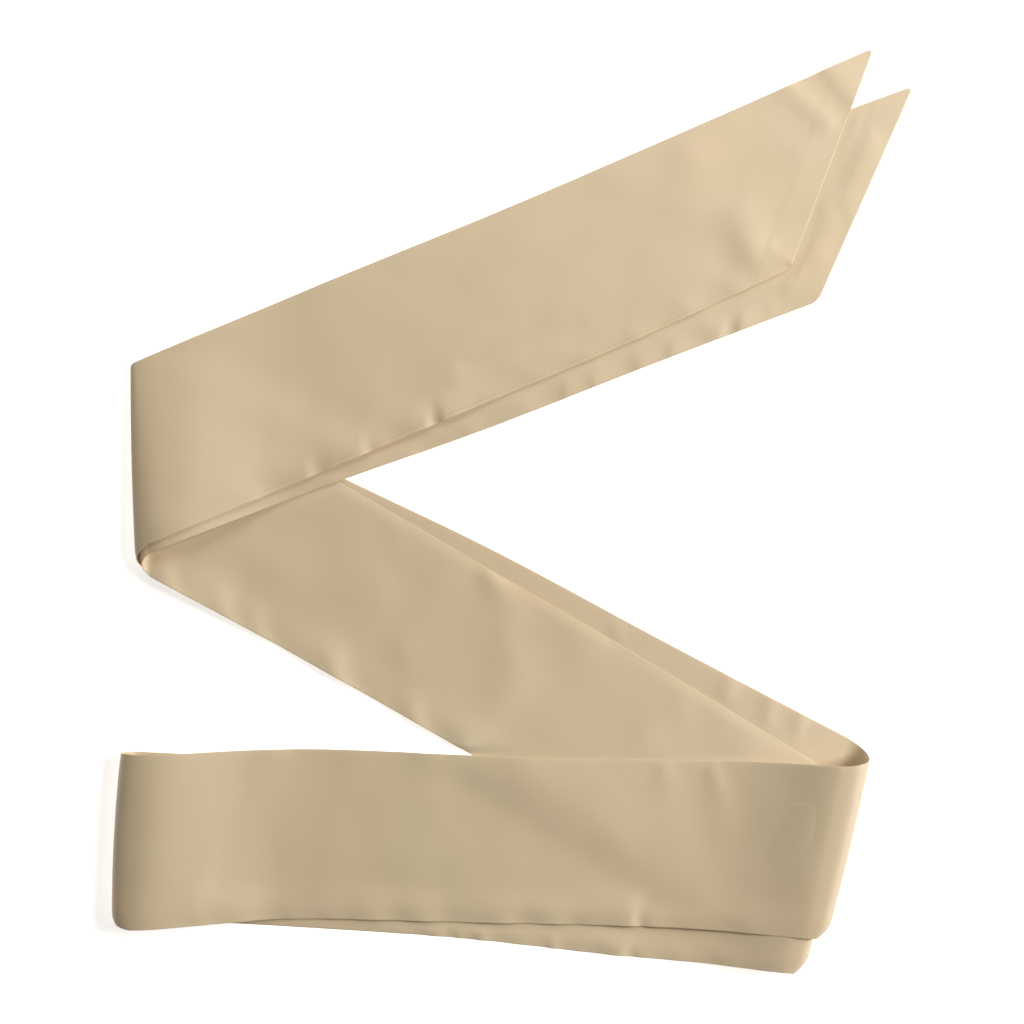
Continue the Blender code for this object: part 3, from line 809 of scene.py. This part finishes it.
def shell_mesh(name, points, normals, run, settings):
    """A closed shell round the middle surface, with the cloth's own map."""
    along, across = shell_sections(*points.shape[:2])
    rows, row_parts = (np.array(values) for values in zip(*along))
    columns, column_parts = (np.array(values) for values in zip(*across))
    pick = np.ix_(rows, columns)
    half = settings.thickness / MM / 2
    part = row_parts[:, None] * column_parts[None, :]
    part = part * (1.0 - stitch_furrow(name, points, run)[pick])
    offset = normals[pick] * (part * half)[..., None]
    upper = points[pick] + offset
    lower = points[pick] - offset
    upper_index = np.arange(part.size).reshape(part.shape)
    apart = part > 0.0
    lower_index = upper_index.copy()
    lower_index[apart] = part.size + np.arange(apart.sum())
    vertices = np.concatenate((upper.reshape(-1, 3), lower[apart]))
    vertices = (vertices - (MIDDLE_X, MIDDLE_Y, 0.0)) * MM

    def quads(index):
        corners = (index[:-1, :-1], index[1:, :-1], index[1:, 1:], index[:-1, 1:])
        return np.stack(corners, axis=-1).reshape(-1, 4)

    faces = np.concatenate((quads(upper_index), quads(lower_index)[:, ::-1])).tolist()
    for column in range(part.shape[1] - 1):
        cap = (upper_index[0, column], upper_index[0, column + 1],
               lower_index[0, column + 1], lower_index[0, column])
        faces.append([int(corner) for corner in dict.fromkeys(cap)])
    mesh = bpy.data.meshes.new(name)
    mesh.from_pydata(vertices.tolist(), [], faces)
    add_cloth_map(mesh, part.shape, run[pick], columns, settings)
    mesh.shade_smooth()
    mesh.set_sharp_from_angle(angle=SHARP_FROM)
    return mesh


def stitched_rows(name, points, run):
    """The rows of the cloth along which the closed gap is stitched."""
    along = run[:, SEAM_DEPTHS.index(STITCH_DEPTH)]
    edge = points[:, 0, 0]
    in_tail = along > along[-1] - stretch_length("tail_upper")
    return in_tail & (edge > STITCH_FROM_X) & (edge < STITCH_TO_X) & (name == STITCHED_HALF)


def stitch_furrow(name, points, run):
    """How far the stitches draw each point in, as a share of its half thickness."""
    depths = np.full(points.shape[1], np.inf)
    depths[:len(SEAM_DEPTHS)] = SEAM_DEPTHS
    drawn = STITCH_FURROW * np.exp(-((depths - STITCH_DEPTH) / STITCH_FURROW_WIDTH) ** 2)
    return stitched_rows(name, points, run)[:, None] * drawn


def add_cloth_map(mesh, shape, run, columns, settings):
    """A map in metres of the flat tube: along the sash, then across and round the fold."""
    width = settings.width
    places = across_places(np.array([width / MM]))[0][columns] * width
    across = np.broadcast_to(places, shape)
    upper = np.stack((run * MM, across), axis=-1)
    lower = np.stack((run * MM, 2.0 * width - across), axis=-1)

    def corners(values):
        stack = (values[:-1, :-1], values[1:, :-1], values[1:, 1:], values[:-1, 1:])
        return np.stack(stack, axis=2)

    filled = np.concatenate((corners(upper).ravel(), corners(lower)[:, :, ::-1].ravel()))
    layer = mesh.uv_layers.new(name="cloth")
    values = np.zeros(len(layer.data) * 2)
    values[:len(filled)] = filled
    layer.data.foreach_set("uv", values)


def stitch_mesh(name, points, normals, run, settings):
    """The stitches of the closed gap, on both faces, as one joined mesh."""
    column = SEAM_DEPTHS.index(STITCH_DEPTH)
    line, face, place = points[:, column], normals[:, column], run[:, column]
    wanted = stitched_rows(STITCHED_HALF, points, run)
    first, last = place[wanted][0], place[wanted][-1]
    centres = np.arange(first, last, settings.stitch_pitch / MM)
    half = settings.stitch_length / MM / 2
    radius = settings.thread / MM / 2
    ring = np.array(STITCH_RINGS)
    run_at = (centres[:, None] + half * ring).ravel()
    where = np.column_stack([np.interp(run_at, place, line[:, axis]) for axis in range(3)])
    up = np.column_stack([np.interp(run_at, place, face[:, axis]) for axis in range(3)])
    forward = np.gradient(where, axis=0)
    forward /= np.linalg.norm(forward, axis=1, keepdims=True)
    side = np.cross(up, forward)
    taper = np.tile(np.sqrt(1.0 - STITCH_TAPER * ring ** 2), len(centres))[:, None]
    sunk = np.tile(radius * (STITCH_RISE - STITCH_DIVE * ring ** 4), len(centres))[:, None]
    vertices = []
    for face_sign in (1.0, -1.0):
        lift = settings.thickness / MM / 2 * (1.0 - STITCH_FURROW) + sunk
        middle = where + face_sign * up * lift
        for turned in np.linspace(0.0, 2.0 * pi, STITCH_SIDES, endpoint=False):
            spoke = side * np.cos(turned) + face_sign * up * np.sin(turned)
            vertices.append(middle + spoke * radius * taper)
    vertices = np.array(vertices).reshape(2, STITCH_SIDES, len(centres), len(ring), 3)
    vertices = vertices.transpose(0, 2, 3, 1, 4)
    index = np.arange(vertices.size // 3).reshape(vertices.shape[:-1])
    following = np.roll(index, -1, axis=3)
    sides = np.stack((index[:, :, :-1], following[:, :, :-1],
                      following[:, :, 1:], index[:, :, 1:]), axis=-1)
    sides[1] = sides[1][..., ::-1]
    faces = sides.reshape(-1, 4).tolist()
    for face_side, turn in ((0, -1), (1, 1)):
        faces += index[face_side, :, 0, ::turn].tolist()
        faces += index[face_side, :, -1, ::-turn].tolist()
    mesh = bpy.data.meshes.new(name)
    placed = (vertices.reshape(-1, 3) - (MIDDLE_X, MIDDLE_Y, 0.0)) * MM
    mesh.from_pydata(placed.tolist(), [], faces)
    mesh.shade_smooth()
    return mesh


def add_node(tree, kind, settings=(), links=()):
    """Add a node, set its properties and inputs, and link into it."""
    node = tree.nodes.new(kind)
    for key, value in dict(settings).items():
        if isinstance(key, int) or key in node.inputs:
            node.inputs[key].default_value = value
        else:
            setattr(node, key, value)
    for key, socket in dict(links).items():
        tree.links.new(socket, node.inputs[key])
    return node


def start_material(name):
    """An empty material and its output node."""
    material = bpy.data.materials.new(name)
    material.use_nodes = True
    material.node_tree.nodes.clear()
    output = add_node(material.node_tree, "ShaderNodeOutputMaterial")
    return material, material.node_tree, output


def satin_material(finish):
    """Polyester satin, woven and calendered: long smooth floats over a dull ground.

    The floats give the eye a broad soft gloss that is drawn out square to them, and fine
    streaks along them. The dye is even, with a faint drift from yellower to pinker.
    """
    material, tree, output = start_material("woven_polyester_satin")
    cloth_map = add_node(tree, "ShaderNodeUVMap", {"uv_map": "cloth"})
    place = add_node(tree, "ShaderNodeTexCoord")
    # The dye drifts over about 90 mm.
    drift = add_node(tree, "ShaderNodeTexNoise",
                     {"Scale": 11.0, "Detail": 1.0, "Roughness": 0.4},
                     {"Vector": place.outputs["Object"]})
    colour = add_node(tree, "ShaderNodeMix", {"data_type": "RGBA", 6: (*finish.satin, 1.0),
                                              7: (*finish.satin_warm, 1.0)},
                      {0: drift.outputs["Fac"]})
    # Threads lie 0.1 mm apart and would not show, so the streaks are drawn 0.7 mm wide
    # and 16 mm long, which is the least that shows from a step away.
    streak_map = add_node(tree, "ShaderNodeMapping", {"Scale": (62.0, 1400.0, 1.0)},
                          {"Vector": cloth_map.outputs["UV"]})
    streaks = add_node(tree, "ShaderNodeTexNoise", {"Scale": 1.0, "Detail": 3.0},
                       {"Vector": streak_map.outputs["Vector"]})
    # The grain of the weave, drawn 0.6 mm wide for the same reason.
    grain = add_node(tree, "ShaderNodeTexNoise", {"Scale": 1700.0, "Detail": 2.0},
                     {"Vector": cloth_map.outputs["UV"]})
    relief = add_node(tree, "ShaderNodeMix", {"data_type": "FLOAT", 0: 0.4},
                      {2: streaks.outputs["Fac"], 3: grain.outputs["Fac"]})
    bump = add_node(tree, "ShaderNodeBump", {"Strength": 0.5, "Distance": 0.00002},
                    {"Height": relief.outputs[0]})
    tangent = add_node(tree, "ShaderNodeTangent", {"direction_type": "UV_MAP",
                                                   "uv_map": "cloth"})
    gloss = add_node(tree, "ShaderNodeMapRange",
                     {"To Min": finish.roughness - 0.04, "To Max": finish.roughness + 0.04},
                     {"Value": streaks.outputs["Fac"]})
    shader = add_node(tree, "ShaderNodeBsdfPrincipled",
                      {"IOR": POLYESTER_IOR, "Metallic": 0.0, "Anisotropic": finish.anisotropy,
                       "Anisotropic Rotation": 0.25, "Specular IOR Level": 1.0,
                       "Sheen Weight": 0.1, "Sheen Roughness": 0.5},
                      {"Base Color": colour.outputs[2], "Roughness": gloss.outputs[0],
                       "Normal": bump.outputs[0], "Tangent": tangent.outputs[0]})
    tree.links.new(shader.outputs[0], output.inputs["Surface"])
    return material


def thread_material(finish):
    """Spun polyester sewing thread, twisted: duller than the satin, with painted shade in the
    grooves of its fine twist.
    """
    material, tree, output = start_material("spun_polyester_thread")
    place = add_node(tree, "ShaderNodeTexCoord")
    # Two plies twist once in 0.8 mm, and the darker bands along the twist are painted shade in
    # the grooves between them.
    twist = add_node(tree, "ShaderNodeTexWave", {"Scale": 400.0, "Distortion": 1.0},
                     {"Vector": place.outputs["Object"]})
    # The thread's colour, with painted shade at 0.82 of its brightness in the grooves of the
    # twist.
    painted_groove_shade = add_node(tree, "ShaderNodeMix",
                     {"data_type": "RGBA", 6: (*(0.82 * level for level in finish.thread), 1.0),
                      7: (*finish.thread, 1.0)},
                     {0: twist.outputs["Fac"]})
    shader = add_node(tree, "ShaderNodeBsdfPrincipled",
                      {"Roughness": 0.6, "IOR": POLYESTER_IOR, "Metallic": 0.0},
                      {"Base Color": painted_groove_shade.outputs[2]})
    tree.links.new(shader.outputs[0], output.inputs["Surface"])
    return material


def floor_material(stage):
    """Matt white card, with a glow that keeps it white, and the faint tooth of its surface."""
    material, tree, output = start_material("matt_white_card")
    place = add_node(tree, "ShaderNodeTexCoord")
    tooth = add_node(tree, "ShaderNodeTexNoise", {"Scale": 900.0, "Detail": 2.0},
                     {"Vector": place.outputs["Object"]})
    bump = add_node(tree, "ShaderNodeBump", {"Strength": 0.1, "Distance": 0.00002},
                    {"Height": tooth.outputs["Fac"]})
    shader = add_node(tree, "ShaderNodeBsdfPrincipled",
                      {"Base Color": (*stage.floor, 1.0), "Roughness": 0.9,
                       "Emission Color": (*stage.floor, 1.0),
                       "Emission Strength": stage.floor_glow},
                      {"Normal": bump.outputs[0]})
    tree.links.new(shader.outputs[0], output.inputs["Surface"])
    return material


def add_object(name, data):
    """Put a new object in the scene."""
    thing = bpy.data.objects.new(name, data)
    bpy.context.scene.collection.objects.link(thing)
    return thing


def add_piece(name, mesh, material):
    """A piece of the sash, which goes with its one body."""
    piece = add_object(name, mesh)
    piece.data.materials.append(material)
    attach(piece, "root")
    return piece


def add_area_light(name, power, lamp):
    """A square soft light, aimed at the middle of the sash."""
    light = bpy.data.lights.new(name, "AREA")
    light.energy = power
    light.size = lamp.side
    light.color = lamp.colour
    stand = add_object(name, light)
    stand.location = lamp.place
    stand.rotation_euler = (-Vector(lamp.place)).to_track_quat("-Z", "Y").to_euler()


class SASH_OT_cloth(Operator):
    """Make the two halves of the satin tube"""

    bl_idname = "sash.cloth"
    bl_label = "Cloth"

    def execute(self, context):
        scene = context.scene
        material = satin_material(scene.sash_finish)
        for name, nodes in REPLACED.items():
            points, normals, run = half_surface(name, scene.sash_cloth)
            mesh = shell_mesh(name, points, normals, run, scene.sash_cloth)
            piece = add_piece(name, mesh, material)
            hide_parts(*nodes)
        return {"FINISHED"}


class SASH_OT_stitches(Operator):
    """Sew the stitches that close the gap in the seam edge"""

    bl_idname = "sash.stitches"
    bl_label = "Stitches"

    def execute(self, context):
        settings = context.scene.sash_cloth
        points, normals, run = half_surface(STITCHED_HALF, settings)
        mesh = stitch_mesh("closing_stitches", points, normals, run, settings)
        piece = add_piece("closing_stitches", mesh, thread_material(context.scene.sash_finish))
        return {"FINISHED"}


class SASH_OT_stage(Operator):
    """Set up the floor, the lights and the camera"""

    bl_idname = "sash.stage"
    bl_label = "Stage"

    def execute(self, context):
        scene = context.scene
        stage = scene.sash_stage
        bpy.ops.mesh.primitive_plane_add(size=FLOOR_SIDE, location=(0.0, 0.0, -FLOOR_DROP))
        floor = context.object
        floor.name = "floor"
        floor.data.materials.append(floor_material(stage))
        add_area_light("key", stage.key_power, KEY_LAMP)
        add_area_light("fill", stage.fill_power, FILL_LAMP)
        world = bpy.data.worlds.new("studio")
        world.use_nodes = True
        background = world.node_tree.nodes["Background"]
        background.inputs["Color"].default_value = (*stage.surround_colour, 1.0)
        background.inputs["Strength"].default_value = stage.surround
        scene.world = world
        scene.view_settings.view_transform = "Standard"
        camera = bpy.data.cameras.new("camera")
        camera.lens = stage.lens
        view = add_object("camera", camera)
        view.location = (-MIDDLE_X * MM, -MIDDLE_Y * MM, stage.camera_height)
        scene.camera = view
        return {"FINISHED"}


class SASH_PT_sidebar(Panel):
    """The sash's sizes, colours and steps"""

    bl_label = "Satin sash"
    bl_idname = "SASH_PT_sidebar"
    bl_space_type = "VIEW_3D"
    bl_region_type = "UI"
    bl_category = "Sash"

    def draw(self, context):
        layout = self.layout
        for title, name in (("Cloth", "sash_cloth"), ("Finish", "sash_finish"),
                            ("Stage", "sash_stage")):
            group = getattr(context.scene, name)
            box = layout.box()
            box.label(text=title)
            for key in group.bl_rna.properties.keys():
                if key not in {"rna_type", "name"}:
                    box.prop(group, key)
        for operator in OPERATORS:
            layout.operator(operator.bl_idname)


OPERATORS = (SASH_OT_cloth, SASH_OT_stitches, SASH_OT_stage)
CLASSES = (SashClothSettings, SashFinishSettings, SashStageSettings, *OPERATORS,
           SASH_PT_sidebar)


def register():
    for kind in CLASSES:
        bpy.utils.register_class(kind)
    bpy.types.Scene.sash_cloth = PointerProperty(type=SashClothSettings)
    bpy.types.Scene.sash_finish = PointerProperty(type=SashFinishSettings)
    bpy.types.Scene.sash_stage = PointerProperty(type=SashStageSettings)


def unregister():
    del bpy.types.Scene.sash_cloth
    del bpy.types.Scene.sash_finish
    del bpy.types.Scene.sash_stage
    for kind in reversed(CLASSES):
        bpy.utils.unregister_class(kind)


def main():
    register()
    bpy.ops.sash.cloth()
    bpy.ops.sash.stitches()
    bpy.ops.sash.stage()


if __name__ == "__main__":
    main()
